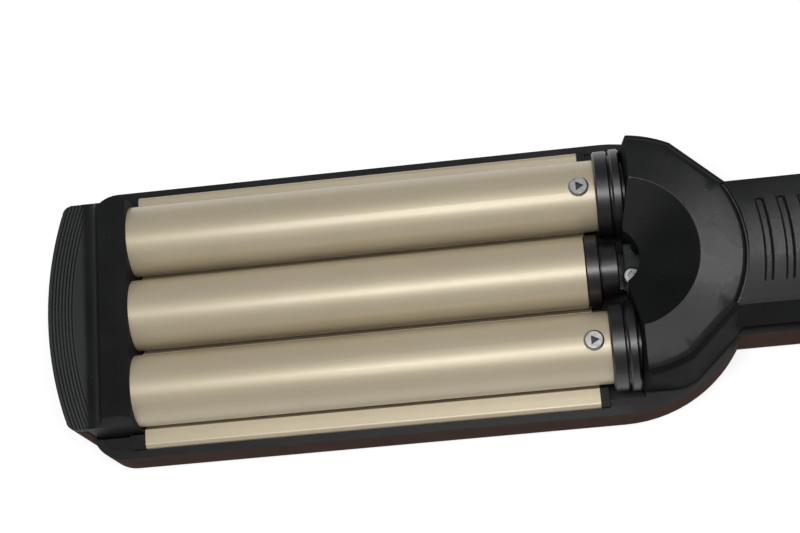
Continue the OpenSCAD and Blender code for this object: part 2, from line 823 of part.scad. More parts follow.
// Bosses for the liner's screws and the rear pair of guides
module upper_bosses() {
  for (x = liner_screw_x)
    translate([x, 0, z_liner_top + 1.2]) cylinder(r = 3, h = shell_roof - z_liner_top - 1);
}

module head_cuts() {
  // The dished facet that looks towards the barrels
  translate([x_head - 2.7, 0, z_axis + head_rise - dish_depth])
    cylinder(r1 = 0, r2 = 2 * dish_r, h = 2 * dish_depth, $fn = 144);
  // The arc groove where the handle's top meets the head
  intersection() {
    translate([head_x, 0, z_crown - 1.2]) difference() {
      cylinder(r = ring_r + 1.7, h = 10, $fn = 180);
      translate([0, 0, -1]) cylinder(r = ring_r + 0.5, h = 12, $fn = 180);
    }
    block(head_x, x_neck + 20, -top_half_w + 0.4, top_half_w - 0.4, z_crown - 2, z_crown + 10);
  }
  // The notch over the bracket
  translate([x_end + 1.7, 0, 0]) cylinder(r = notch_r, h = 80);
  // Room for the outer collars and the middle neck
  for (s = [-1, 1]) {
    rod(x_end - 1, x_head + fit_gap, collar_r + 0.15, s * barrel_pitch);
    rod(x_head - 1, x_head + 5, collar_neck_r + fit_gap, s * barrel_pitch);
  }
  rod(x_end - 8, x_head + 1, neck_r + 0.3);
  // Room for the bracket's foot and its screw
  block(x_end, bracket_x, -foot_half_w - 0.1, foot_half_w + 0.1, 0, z_foot + bracket_t + 1.7);
}

module upper_holes() {
  translate([x_power, 0, z_axis]) cylinder(d = power_d + 2 * run_gap, h = 40);
  for (x = [x_warmer, x_cooler])
    translate([x, 0, z_axis]) cylinder(d = temp_d + 2 * run_gap, h = 40);
  lens_shape(fit_gap, z_crown - 8, z_crown + 5);
  for (x = liner_screw_x)
    translate([x, 0, z_upper]) cylinder(r = cover_shank_r + thread_gap, h = 8.4);
  translate([x_hinge, tongue_half_w + 1, z_hinge]) rotate([90, 0, 0])
    cylinder(d = pin_d + 2 * shaft_gap, h = 2 * tongue_half_w + 2);
}

// Inner cover of the upper arm: a disc under the head, a riser, and a long strip under the handle
module upper_liner() {
  head_z = head_floor;
  strip_half = top_half_w + 1 - fit_gap;
  color([0.14, 0.14, 0.15]) difference() {
    union() {
      intersection() {
        translate([head_x, 0, head_z]) cylinder(r = head_room_r - fit_gap, h = cover_t);
        block(x_head + 2.2, x_neck + 20, -60, 60, 0, 80);
      }
      block(x_neck - 7.6, x_neck - 5.8, -strip_half, strip_half, head_z + eps, z_upper + cover_t);
      block(x_neck - 5.9, cover_x1 - fit_gap, -strip_half, strip_half, z_upper + 0.3, z_upper + 0.3 + cover_t);
      for (x = liner_screw_x)
        translate([x, 0, z_upper + 0.3 + cover_t - eps]) cylinder(r = 3, h = 1.2);
      // Pad under the bracket's foot
      block(x_head + 2.3, x_head + 8, -8, 8, head_z + cover_t - eps, z_foot);
      // Socket of the handle spring
      translate([x_spring, 0, z_upper + 0.3])
        cylinder(r = spring_cup_r + 1.4, h = spring_z1 + 1.2 - z_upper - 0.3);
      // Posts that carry the control board
      for (x = [board_x0 + 3, board_x1 - 4])
        for (s = [-1, 1])
          translate([x, s * 9, z_upper + 0.3 + cover_t - eps])
            cylinder(r = 2, h = board_z - z_upper - 0.3 - cover_t);
    }
    translate([x_spring, 0, z_upper - 2]) cylinder(r = spring_cup_r, h = spring_z1 - z_upper + 2);
    for (x = liner_screw_x) {
      translate([x, 0, z_upper - 1]) cylinder(r = cover_head_r + 0.2, h = 2.3);
      translate([x, 0, z_upper]) cylinder(r = cover_shank_r + 0.15, h = 8);
    }
    // Keeper of the lock: a wide mouth that the hook's head passes, and a slot that holds its neck
    block(x_lock - hook_reach - 0.8, x_lock + lock_w, -hook_half_w - 0.6, hook_half_w + 0.6,
      z_upper - 1, z_upper + 4);
    block(x_lock - lock_travel + 0.4, x_lock, -neck_half_w - 0.4, neck_half_w + 0.4,
      z_upper - 1, z_upper + 4);
  }
}

liner_screw_at = [8, 32];
liner_screw_x = [for (at = liner_screw_at) x_neck + at];
liner_shank_len = 4.4;

module liner_screws() {
  color("silver") for (x = liner_screw_x)
    translate([x, 0, z_upper + 0.4]) mirror([0, 0, 1]) difference() {
      screw(cover_head_r, cover_head_h, cover_shank_r, liner_shank_len);
      translate([0, 0, -0.6]) cylinder(r = 1.1, h = 2, $fn = 4);
    }
}

function barrel_stop(k) = k == 0 ? x_mid_end : x_end;
barrel_screw_inset = 4.4;
barrel_screw_r = 2.8;
barrel_shank_r = 1.3;

module barrel(k) {
  color([0.8, 0.75, 0.66]) difference() {
    rod(x_block - socket_depth, barrel_stop(k), barrel_r, k * barrel_pitch);
    rod(x_block - socket_depth - 1, barrel_stop(k) + 1, bore_r, k * barrel_pitch);
    if (k != 0)
      translate([x_end - barrel_screw_inset, k * barrel_pitch, z_axis]) cylinder(r = 1.6, h = 20);
  }
}

module barrel_far() { barrel(1); }
module barrel_middle() { barrel(0); }
module barrel_near() { barrel(-1); }

heater_slot_h = 2.6;
heater_slot_w = 10.6;

// Finned aluminium core that carries the heater and fills the tube
module core(k) {
  y = k * barrel_pitch;
  r = bore_r - fit_gap;
  stop = barrel_stop(k) - 1;
  color([0.75, 0.76, 0.78]) difference() {
    union() {
      rod(x_block - socket_depth + 0.5, stop, r, y);
      rod(stop - eps, k == 0 ? x_end + 2.8 : x_head + 7.6, stub_r, y);
    }
    block(x_block - socket_depth, stop - 12, y - heater_slot_w / 2, y + heater_slot_w / 2,
      z_axis - heater_slot_h / 2, z_axis + heater_slot_h / 2);
    // Flutes that leave a little air between the core and its tube
    for (a = [45, 135, 225, 315])
      rod(x_block - socket_depth, stop - 12, 1.2, y + r * cos(a), z_axis + r * sin(a));
    if (k != 0)
      translate([x_end - barrel_screw_inset, y, z_axis + 2]) cylinder(r = barrel_shank_r + thread_gap, h = 20);
  }
}

module core_far() { core(1); }
module core_middle() { core(0); }
module core_near() { core(-1); }

module barrel_heater(k) {
  y = k * barrel_pitch;
  color([0.92, 0.9, 0.85]) block(heater_x0, heater_x1, y - heater_slot_w / 2 + 0.1, y + heater_slot_w / 2 - 0.1,
    z_axis - heater_slot_h / 2 + fit_gap, z_axis + heater_slot_h / 2 - fit_gap);
}

module heater_far() { barrel_heater(1); }
module heater_middle() { barrel_heater(0); }
module heater_near() { barrel_heater(-1); }

collar_neck_r = 9.2;
// Width of the groove between the two rings of a collar
ring_split = 0.4;

// Two stepped rings on a neck that passes into the head
module outer_collar(k) {
  e = 0.5;
  c = collar_r;
  groove = c - 1.6;
  ring_x = x_end + 4.2;
  color([0.1, 0.1, 0.11]) difference() {
    turned([[x_end - 0.9, stub_r + fit_gap], [x_end - 0.9, bore_r - fit_gap], [x_end, bore_r - fit_gap],
      [x_end, c - 0.9], [x_end + e, c - 0.3], [ring_x - e, c - 0.3], [ring_x, c - 0.3 - e], [ring_x, groove],
      [ring_x + ring_split, groove], [ring_x + ring_split, c - e], [ring_x + ring_split + e, c],
      [x_head - e, c], [x_head, c - e], [x_head, collar_neck_r], [x_head + 4.4, collar_neck_r],
      [x_head + 4.4, stub_r + fit_gap]], k * barrel_pitch);
    // The neck is flat underneath, where it stands on the inner cover
    block(x_head, x_head + 5, k * barrel_pitch - c, k * barrel_pitch + c, 0, head_floor + cover_t + fit_gap);
  }
}

module collar_far() { outer_collar(1); }
module collar_near() { outer_collar(-1); }

module collar_middle() {
  e = 0.4;
  x0 = x_mid_end;
  ring_x = x0 + 4;
  color([0.1, 0.1, 0.11])
    turned([[x0 - 0.9, stub_r + fit_gap], [x0 - 0.9, bore_r - fit_gap], [x0, bore_r - fit_gap],
      [x0, barrel_r - e], [x0 + e, barrel_r], [ring_x - e, barrel_r], [ring_x, barrel_r - e],
      [ring_x, neck_r - 0.8], [ring_x + ring_split, neck_r - 0.8], [ring_x + ring_split, neck_r],
      [neck_x - 0.4, neck_r], [neck_x, neck_r - 0.4], [neck_x, 0], [x_end + 3, 0], [x_end + 3, stub_r + fit_gap]]);
}

// Side profile of the tip block: thumb ledge, cove, crest and the slope down to the barrels
module tip_profile() {
  cove_x = x_nose + 10.8;
  difference() {
    polygon([[x_nose, z_lip], [x_nose, z_ledge], [cove_x, z_ledge], [cove_x, z_crest - 1],
      [x_block - 2.6, z_crest], [x_block, z_crest - 1.2], [x_block, tip_bottom], [tip_back, tip_bottom],
      [tip_back, z_lip]]);
    translate([cove_x, z_ledge + cove_r]) circle(cove_r);
  }
}

// Fine ridges that follow the tip's arc on the thumb ledge
module tip_ridges() {
  intersection() {
    for (i = sides(ridge_count))
      translate([x_nose + tip_arc_r, 0, z_ledge - 0.25]) difference() {
        cylinder(r = tip_arc_r - 1 - i * ridge_pitch, h = 1, $fn = 240);
        translate([0, 0, -1]) cylinder(r = tip_arc_r - 1.35 - i * ridge_pitch, h = 3, $fn = 240);
      }
    block(x_nose - 1, x_nose + 10.6, -tip_half_w - 2, tip_half_w + 2, z_ledge - 1, z_ledge + 2);
  }
}

tip_screw_y = barrel_pitch / 2;

module tip_block() {
  color([0.15, 0.155, 0.16]) difference() {
    intersection() {
      across(big / 2) tip_profile();
      upright(0, 80) tip_plan(x_block, tip_half_w);
    }
    tip_ridges();
    // The crest's ends lean in above the ledge
    for (s = [0, 1])
      mirror([0, s, 0]) run(x_nose, x_block + 1)
        polygon([[tip_half_w + eps, z_ledge], [tip_half_w + 9, z_ledge], [tip_half_w + 9, z_crest + 9],
          [tip_half_w - 1.8 - 3, z_crest + 8.7], [tip_half_w - 1.8, z_crest]]);
    for (k = barrel_sides)
      rod(x_block - socket_depth - fit_gap, x_block + 1, barrel_r + fit_gap, k * barrel_pitch);
  }
}

// Three-lobed drive of the visible barrel screws
module tri_recess(r) {
  cylinder(r = r, h = 2, $fn = 3);
}

module barrel_screws() {
  color("silver") for (s = [-1, 1])
    translate([x_end - barrel_screw_inset, s * barrel_pitch, z_axis + barrel_r + 0.75]) difference() {
      screw(barrel_screw_r, 1.1, barrel_shank_r, 5.4);
      translate([0, 0, -0.6]) tri_recess(1.5);
      // The head's underside follows the tube
      rod(-8, 8, barrel_r, 0, -barrel_r - 0.75);
    }
  color("silver") for (s = [-1, 1])
    translate([x_end - barrel_screw_inset, s * barrel_pitch, z_axis + 4.6])
      cylinder(r = barrel_shank_r, h = barrel_r - 4.6 + 0.2);
}

z_foot = z_axis - 2.4;
bracket_t = 1.2;
foot_half_w = 7.2;
foot_x = x_end + 6.3;
// Where the middle barrel's neck ends
neck_x = x_end + 4.3;
lug_half_w = 5;
lug_z = z_axis - 6.5;
bracket_x = x_head + 4.5;
bracket_screw_at = [x_head + 0.5, -2.2];

// Pressed steel bracket that ties the three cores together inside the head
module barrel_bracket() {
  color([0.72, 0.73, 0.75]) difference() {
    union() {
      block(bracket_x, bracket_x + bracket_t, -barrel_pitch - 6.5, barrel_pitch + 6.5, z_foot, head_roof - 0.3);
      block(foot_x, bracket_x + eps, -foot_half_w, foot_half_w, z_foot, z_foot + bracket_t);
      block(foot_x, foot_x + bracket_t, -lug_half_w, lug_half_w, lug_z, z_foot + bracket_t);
      block(neck_x, foot_x + eps, -lug_half_w, lug_half_w, lug_z, lug_z + bracket_t);
      block(neck_x, neck_x + bracket_t, -lug_half_w, lug_half_w, lug_z, lug_z + 3.2);
    }
    for (s = [-1, 1]) {
      rod(bracket_x - 1, bracket_x + 3, stub_r + fit_gap, s * barrel_pitch);
    }
    translate([bracket_screw_at[0], bracket_screw_at[1], z_foot - 3]) cylinder(r = 1.5, h = 7);
  }
}

module bracket_screw() {
  color("silver") translate([bracket_screw_at[0], bracket_screw_at[1], z_foot + bracket_t + 1.5]) difference() {
    screw(2.6, 1.5, 1.45, 3.4);
    translate([0, 0, -0.8]) cylinder(r = 1.3, h = 2, $fn = 4);
  }
}

// Circuit board with its switches, display and power parts
module control_board() {
  top = board_z + board_t;
  color([0.12, 0.4, 0.2]) union() {
    block(board_x0, board_x1, -board_half_w, board_half_w, board_z, top);
    block(x_lens - 5, x_lens + 5, -2, 2, top - eps, top + 1.6);
    for (x = [x_warmer, x_cooler, x_power]) {
      block(x - 2.2, x + 2.2, -2.2, 2.2, top - eps, top + 1.2);
      translate([x, 0, top]) cylinder(r = 1, h = 1.5);
    }
    block(board_x1 - 7, board_x1 - 2, -9, -3, top - eps, top + 1.6);
    block(board_x1 - 8, board_x1 - 1, 3, 9, top - eps, top + 2);
  }
}

module indicator_lens() {
  color([0.75, 0.78, 0.8]) union() {
    lens_shape(0, z_crown - 1.6, z_crown - 0.1);
    lens_shape(-1.2, board_z + board_t + 1.6 + fit_gap, z_crown - 1.5);
  }
}

// A round push button: domed cap, flange under the shell and a stem over its switch
module push_button(x, d) {
  r = d / 2;
  top = z_crown + button_proud;
  flange_top = shell_roof - 0.6;
  foot = board_z + board_t + 1.5 + button_travel + 0.1;
  color([0.25, 0.26, 0.28]) translate([x, 0, 0]) rotate_extrude() polygon([[0, top], [r - 1.2, top - 0.1],
    [r - 0.4, top - 0.4], [r, top - 0.9], [r, flange_top], [r + 0.9, flange_top], [r + 0.9, flange_top - 0.8],
    [1.6, flange_top - 0.8], [1.6, foot], [0, foot]]);
}

module power_button() { push_button(x_power, power_d); }
module warmer_button() { push_button(x_warmer, temp_d); }
module cooler_button() { push_button(x_cooler, temp_d); }

// Lock slider: a bar in the gap between the handles, a foot under the cover and a hook for the keeper
module lock_slider() {
  top = z_lower - 0.3;
  bar_top = z_upper - 2.4;
  liner_top = z_upper + 0.3 + cover_t;
  tab_x = x_lock + lock_w / 2;
  color([0.2, 0.2, 0.21]) union() {
    block(x_lock, x_lock + lock_w, -handle_half_w + 2, handle_half_w - 2, z_lower + run_gap, bar_top);
    // Ribbed finger tabs at both sides
    for (s = [-1, 1]) {
      block(tab_x - 5, tab_x + 5, s > 0 ? handle_half_w - 2.6 : -handle_half_w + 0.5,
        s > 0 ? handle_half_w - 0.5 : -handle_half_w + 2.6, z_lower + run_gap, bar_top);
      for (i = [-2:2])
        translate([tab_x + i * 2, s * (handle_half_w - 0.5), z_lower + run_gap + 0.4])
          cylinder(r = 0.5, h = bar_top - z_lower - run_gap - 0.8, $fn = 24);
    }
    // Foot that runs under the cover
    block(x_lock, x_lock + lock_w, -3.1, 3.1, top - cover_t - 1.5, z_lower + run_gap + eps);
    block(x_lock - 2, x_lock + lock_w + 2, -6, 6, top - cover_t - 1.4 - run_gap, top - cover_t - run_gap);
    // Hook
    block(x_lock + 1, x_lock + lock_w - 1, -neck_half_w, neck_half_w, bar_top - eps, liner_top + 2);
    block(x_lock - hook_reach, x_lock + lock_w - 1, -hook_half_w, hook_half_w, liner_top + 0.6, liner_top + 2.1);
  }
}

module hinge_pin() {
  color("silver") translate([x_hinge, handle_half_w - 0.1, z_hinge]) rotate([90, 0, 0])
    cylinder(d = pin_d, h = 2 * handle_half_w - 0.2);
}

spring_rings = 8;
spring_sides = 6;
spring_end_turns = 1;

// Height of the spring's centre line after t turns: closed ends and an even rise between them
spring_len = spring_z1 - spring_z0 - 2 * spring_wire_r - 0.2;
end_rise = 2 * spring_wire_r + 0.45;
spring_total = spring_turns + 2 * spring_end_turns;
function spring_height(t) =
  t < spring_end_turns ? end_rise * t / spring_end_turns
  : t > spring_total - spring_end_turns ? spring_len - end_rise * (spring_total - t) / spring_end_turns
  : end_rise + (spring_len - 2 * end_rise) * (t - spring_end_turns) / spring_turns;
spring_line = [for (i = [0:spring_rings * spring_total])
  let (t = i / spring_rings)
  [x_spring + spring_r * cos(360 * t), spring_r * sin(360 * t), spring_z0 + spring_wire_r + 0.1 + spring_height(t)]];

// Least gap of the wire to its own neighbouring turn
spring_gap = min([for (i = [0:len(spring_line) - 1 - spring_rings])
  norm(spring_line[i + spring_rings] - spring_line[i])]) - 2 * spring_wire_r;
echo(spring_gap = spring_gap);

function unit(v) = v / norm(v);

// A tube of radius r swept along a line of points
module tube(line, r, n) {
  m = len(line);
  rings = [for (i = [0:m - 1])
    let (d = unit(line[min(i + 1, m - 1)] - line[max(i - 1, 0)]),
      u = unit(cross([0, 0, 1], d)),
      v = cross(d, u))
    for (j = [0:n - 1]) line[i] + r * (cos(360 * j / n) * u + sin(360 * j / n) * v)];
  walls = [for (i = [0:m - 2]) for (j = [0:n - 1])
    let (a = i * n + j, b = i * n + (j + 1) % n)
    each [[a, b + n, a + n], [a, b, b + n]]];
  caps = [[for (j = [0:n - 1]) n - 1 - j], [for (j = [0:n - 1]) (m - 1) * n + j]];
  polyhedron(rings, concat(walls, caps), convexity = 6);
}

module handle_spring() {
  color("silver") tube(spring_line, spring_wire_r, spring_sides);
}

z_swivel = 12;
swivel_flange_r = swivel_r + 1.6;
swivel_flange_t = 2;
swivel_wall = 3;
swivel_seat_len = 7;

module swivel_collar() {
  x0 = x_rear - swivel_wall - swivel_flange_t;
  x1 = x_rear + swivel_out;
  color([0.12, 0.12, 0.12]) difference() {
    turned([[x0, 0], [x0, swivel_flange_r], [x_rear - swivel_wall - 0.15, swivel_flange_r],
      [x_rear - swivel_wall - 0.15, swivel_r], [x_rear + 0.6, swivel_r], [x_rear + 0.6, swivel_r + 0.8],
      [x_rear + 4, swivel_r + 0.8], [x_rear + 4.6, swivel_r], [x1 - 1, swivel_r - 1.4], [x1, swivel_r - 2.2],
      [x1, 0]], 0, z_swivel);
    rod(x0 - 1, x1 + 1, cord_bore_d / 2, 0, z_swivel);
  }
}

lower_shell();
lower_cover();
wave_plate();
plate_block_tip();
plate_block_head();
plate_heater();
heater_clamp();
thermal_fuse();
base_screws();
cover_screws();
upper_shell();
upper_liner();
liner_screws();
barrel_far();
barrel_middle();
barrel_near();
core_far();
core_middle();
core_near();
heater_far();
heater_middle();
heater_near();
collar_far();
collar_middle();
collar_near();
tip_block();
barrel_screws();
barrel_bracket();
bracket_screw();
control_board();
indicator_lens();
power_button();
warmer_button();
cooler_button();
lock_slider();
hinge_pin();
handle_spring();
swivel_collar();
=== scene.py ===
import json
import math

import bmesh
import bpy
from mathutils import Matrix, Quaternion, Vector


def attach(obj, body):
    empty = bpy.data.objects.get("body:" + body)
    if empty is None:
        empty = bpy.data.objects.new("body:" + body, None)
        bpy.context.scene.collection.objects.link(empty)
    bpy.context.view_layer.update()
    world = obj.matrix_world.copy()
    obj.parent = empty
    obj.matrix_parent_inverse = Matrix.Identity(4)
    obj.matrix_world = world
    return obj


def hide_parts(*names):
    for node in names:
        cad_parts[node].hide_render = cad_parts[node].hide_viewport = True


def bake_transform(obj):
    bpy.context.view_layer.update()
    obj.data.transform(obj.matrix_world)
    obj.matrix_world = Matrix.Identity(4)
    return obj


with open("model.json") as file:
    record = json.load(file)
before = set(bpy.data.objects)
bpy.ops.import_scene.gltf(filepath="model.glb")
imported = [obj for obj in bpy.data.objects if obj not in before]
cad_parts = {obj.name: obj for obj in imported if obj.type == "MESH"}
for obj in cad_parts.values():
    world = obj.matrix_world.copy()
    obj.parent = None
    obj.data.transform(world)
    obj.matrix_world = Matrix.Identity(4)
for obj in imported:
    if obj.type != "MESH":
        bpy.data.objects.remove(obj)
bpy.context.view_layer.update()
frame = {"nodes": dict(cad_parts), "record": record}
nodes = frame["nodes"]
mm = 0.001
print("frame loaded:", len(nodes), "nodes")

# ---- node and mesh helpers


def nodeTree(holder):
    holder.use_nodes = True
    tree = holder.node_tree
    tree.nodes.clear()
    return tree


def put(tree, value, socket):
    # A socket takes a plain value, or a link from another node
    if isinstance(value, bpy.types.NodeSocket):
        tree.links.new(value, socket)
    else:
        socket.default_value = value


def calc(tree, kind, *values):
    node = tree.nodes.new("ShaderNodeMath")
    node.operation = kind
    for socket, value in zip(node.inputs, values):
        put(tree, value, socket)
    return node.outputs[0]


def times(tree, first, second):
    return calc(tree, "MULTIPLY", first, second)


def ramp(tree, value, low, high, lowOut, highOut):
    node = tree.nodes.new("ShaderNodeMapRange")
    node.inputs["From Min"].default_value = low
    node.inputs["From Max"].default_value = high
    node.inputs["To Min"].default_value = lowOut
    node.inputs["To Max"].default_value = highOut
    tree.links.new(value, node.inputs["Value"])
    return node.outputs["Result"]


def within(tree, value, low, high, soft):
    # 1 between low and high, 0 outside, with soft ends
    rise = ramp(tree, value, low - soft, low + soft, 0, 1)
    fall = ramp(tree, value, high - soft, high + soft, 1, 0)
    return times(tree, rise, fall)


def mixed(tree, factor, first, second):
    # From first to second, which are numbers, colours or, for first, another node's output
    node = tree.nodes.new("ShaderNodeMix")
    node.data_type = "RGBA" if isinstance(second, tuple) else "FLOAT"
    for name, value in (("A", first), ("B", second)):
        put(tree, (*value, 1) if isinstance(value, tuple) else value, node.inputs[name])
    tree.links.new(factor, node.inputs["Factor"])
    return node.outputs["Result"]


def noise(tree, place, scale, detail=2.0):
    tex = tree.nodes.new("ShaderNodeTexNoise")
    tex.inputs["Scale"].default_value = scale
    tex.inputs["Detail"].default_value = detail
    tex.inputs["Roughness"].default_value = 0.5
    tree.links.new(place, tex.inputs["Vector"])
    return tex.outputs["Fac"]


def axes(tree, vector):
    parts = tree.nodes.new("ShaderNodeSeparateXYZ")
    tree.links.new(vector, parts.inputs[0])
    return parts.outputs


def mixedShader(tree, factor, first, second):
    node = tree.nodes.new("ShaderNodeMixShader")
    tree.links.new(factor, node.inputs["Fac"])
    tree.links.new(first.outputs[0], node.inputs[1])
    tree.links.new(second.outputs[0], node.inputs[2])
    return node.outputs[0]


def addMesh(name, bm):
    mesh = bpy.data.meshes.new(name)
    bm.to_mesh(mesh)
    bm.free()
    piece = bpy.data.objects.new(name, mesh)
    bpy.context.scene.collection.objects.link(piece)
    return piece


# ---- camera, light and floor

camera = {
    "azimuth": 17.89,                # degrees round from the near side towards the handle
    "elevation": 72.97,
    "roll": -22.79,
    "target": (-74.15, 6.9, 25.0),   # mm, on the middle barrel
    "distance": 503.2,               # mm
    "pixelFocal": 1795.0,            # focal length in pixels of an image 800 wide
    "imageWidth": 800.0,
    "sensor": 36.0,                  # mm
    "clip": (0.01, 50.0),            # metres
}

lights = {
    "flashAt": (-0.07, -0.095, 0.54),      # metres
    "flashAim": (-0.07, -0.025, 0.025),
    "flashSize": (0.26, 0.11),
    "flashPower": 1.45,
    "boxAt": (0.17, 0.2, 0.85),
    "boxSize": (0.11, 0.08),
    "boxPower": 0.6,
    "horizon": 0.42,                       # the room's light from low down
    "zenith": 0.14,                        # and from straight above
    "roomFade": (0.05, 0.8),               # heights where the first ends and the second begins
}

floorLook = {
    "size": 6.0,           # metres
    "drop": 0.05,          # mm below the object
    "shade": 0.6,          # as it lights the object
    "shownShade": 0.4,     # as it is seen, with its shadow
    "glow": 0.78,
}


def makeCamera():
    az, el = math.radians(camera["azimuth"]), math.radians(camera["elevation"])
    away = Vector((math.cos(el) * math.sin(az), -math.cos(el) * math.cos(az), math.sin(el)))
    data = bpy.data.cameras.new("photoCamera")
    data.sensor_width = camera["sensor"]
    data.lens = camera["pixelFocal"] * camera["sensor"] / camera["imageWidth"]
    data.clip_start, data.clip_end = camera["clip"]
    cam = bpy.data.objects.new("photoCamera", data)
    bpy.context.scene.collection.objects.link(cam)
    cam.location = (Vector(camera["target"]) + away * camera["distance"]) * mm
    roll = Quaternion((0, 0, 1), math.radians(camera["roll"]))
    cam.rotation_euler = ((-away).to_track_quat("-Z", "Y") @ roll).to_euler()
    bpy.context.scene.camera = cam


def areaLight(name, at, towards, size, power):
    data = bpy.data.lights.new(name, "AREA")
    data.shape = "RECTANGLE"
    data.size, data.size_y = size
    data.energy = power
    lamp = bpy.data.objects.new(name, data)
    bpy.context.scene.collection.objects.link(lamp)
    lamp.location = at
    lamp.rotation_euler = (Vector(towards) - Vector(at)).to_track_quat("-Z", "Y").to_euler()


def makeFloor():
    bm = bmesh.new()
    bmesh.ops.create_grid(bm, x_segments=1, y_segments=1, size=floorLook["size"])
    bmesh.ops.translate(bm, vec=(0, 0, -floorLook["drop"] * mm), verts=bm.verts)
    floor = addMesh("floor", bm)
    paper = bpy.data.materials.new("paleFloor")
    tree = nodeTree(paper)
    out = tree.nodes.new("ShaderNodeOutputMaterial")
    matt = tree.nodes.new("ShaderNodeBsdfDiffuse")
    matt.inputs["Color"].default_value = (*(floorLook["shade"],) * 3, 1)
    shown = tree.nodes.new("ShaderNodeBsdfDiffuse")
    shown.inputs["Color"].default_value = (*(floorLook["shownShade"],) * 3, 1)
    glow = tree.nodes.new("ShaderNodeEmission")
    glow.inputs["Strength"].default_value = floorLook["glow"]
    lit = tree.nodes.new("ShaderNodeAddShader")
    tree.links.new(shown.outputs[0], lit.inputs[0])
    tree.links.new(glow.outputs[0], lit.inputs[1])
    # Camera, gloss and glass see the pale paper, the object gets the plain floor's light
    path = tree.nodes.new("ShaderNodeLightPath").outputs
    seen = calc(tree, "MAXIMUM", path["Is Camera Ray"], path["Is Glossy Ray"])
    seen = calc(tree, "MAXIMUM", seen, path["Is Transmission Ray"])
    tree.links.new(mixedShader(tree, seen, matt, lit), out.inputs["Surface"])
    floor.data.materials.append(paper)


def makeRoom():
    world = bpy.data.worlds.new("studio")
    bpy.context.scene.world = world
    tree = nodeTree(world)
    out = tree.nodes.new("ShaderNodeOutputWorld")
    room = tree.nodes.new("ShaderNodeBackground")
    white = tree.nodes.new("ShaderNodeBackground")
    for shade in (room, white):
        shade.inputs["Color"].default_value = (1, 1, 1, 1)
    height = axes(tree, tree.nodes.new("ShaderNodeTexCoord").outputs["Generated"])["Z"]
    grey = ramp(tree, height, *lights["roomFade"], lights["horizon"], lights["zenith"])
    tree.links.new(grey, room.inputs["Strength"])
    cameraRay = tree.nodes.new("ShaderNodeLightPath").outputs["Is Camera Ray"]
    tree.links.new(mixedShader(tree, cameraRay, room, white), out.inputs["Surface"])


makeCamera()
areaLight("flash", lights["flashAt"], lights["flashAim"], lights["flashSize"], lights["flashPower"])
areaLight("softBox", lights["boxAt"], Vector(camera["target"]) * mm, lights["boxSize"],
          lights["boxPower"])
makeFloor()
makeRoom()
print("camera, light and floor set")

# ---- materials


def shader(name, colour, metallic=0.0, roughness=0.5, specular=0.5, coat=0.0, coatRoughness=0.1):
    material = bpy.data.materials.new(name)
    tree = nodeTree(material)
    out = tree.nodes.new("ShaderNodeOutputMaterial")
    body = tree.nodes.new("ShaderNodeBsdfPrincipled")
    body.inputs["Base Color"].default_value = (*colour, 1)
    body.inputs["Metallic"].default_value = metallic
    body.inputs["Roughness"].default_value = roughness
    body.inputs["Specular IOR Level"].default_value = specular
    body.inputs["Coat Weight"].default_value = coat
    body.inputs["Coat Roughness"].default_value = coatRoughness
    tree.links.new(body.outputs[0], out.inputs["Surface"])
    place = tree.nodes.new("ShaderNodeTexCoord")
    return material, tree, body, place.outputs["Object"]


def bump(tree, body, height, strength, distance):
    node = tree.nodes.new("ShaderNodeBump")
    node.inputs["Strength"].default_value = strength
    node.inputs["Distance"].default_value = distance
    tree.links.new(height, node.inputs["Height"])
    tree.links.new(node.outputs["Normal"], body.inputs["Normal"])


def cover(tree, body, factor, colour, roughness):
    # Lays another colour and roughness over the surface where the factor is 1
    for name, value in (("Base Color", colour), ("Roughness", roughness)):
        socket = body.inputs[name]
        tree.links.new(mixed(tree, factor, socket.links[0].from_socket, value), socket)


def facing(tree, axis):
    # One part of the normal, in the object's own directions
    return axes(tree, tree.nodes.new("ShaderNodeTexCoord").outputs["Normal"])[axis]


def millimetres(tree, place):
    return [calc(tree, "DIVIDE", part, mm) for part in axes(tree, place)]


def planAway(tree, x, y):
    return calc(tree, "SQRT", calc(tree, "ADD", times(tree, x, x), times(tree, y, y)))


plastic = {
    "grainScale": 2600, "grainDetail": 3, "grainBump": 0.35, "grainDepth": 0.00006,
    "cloudScale": 60, "cloudDetail": 4,
    "shadeFade": (0.3, 0.75), "paler": 1.35, "lift": 0.004,      # slow change of shade
    "glossFade": (0.3, 0.7), "glossChange": (-0.015, 0.025),     # and of roughness
    "dustScale": 900, "dustFade": (0.72, 0.78), "dustShade": (0.2, 0.2, 0.21),
    # painted shade on the flanks that look to the near side, with their roughness
    "flankFade": (-0.09, -0.02), "flankPaintedShade": (0.002, 0.002, 0.002), "flankRoughness": 0.75,
    # painted shadow in narrow grooves
    "paintedGrooveShadow": (0.001, 0.001, 0.001), "grooveShadowRoughness": 0.9,
}


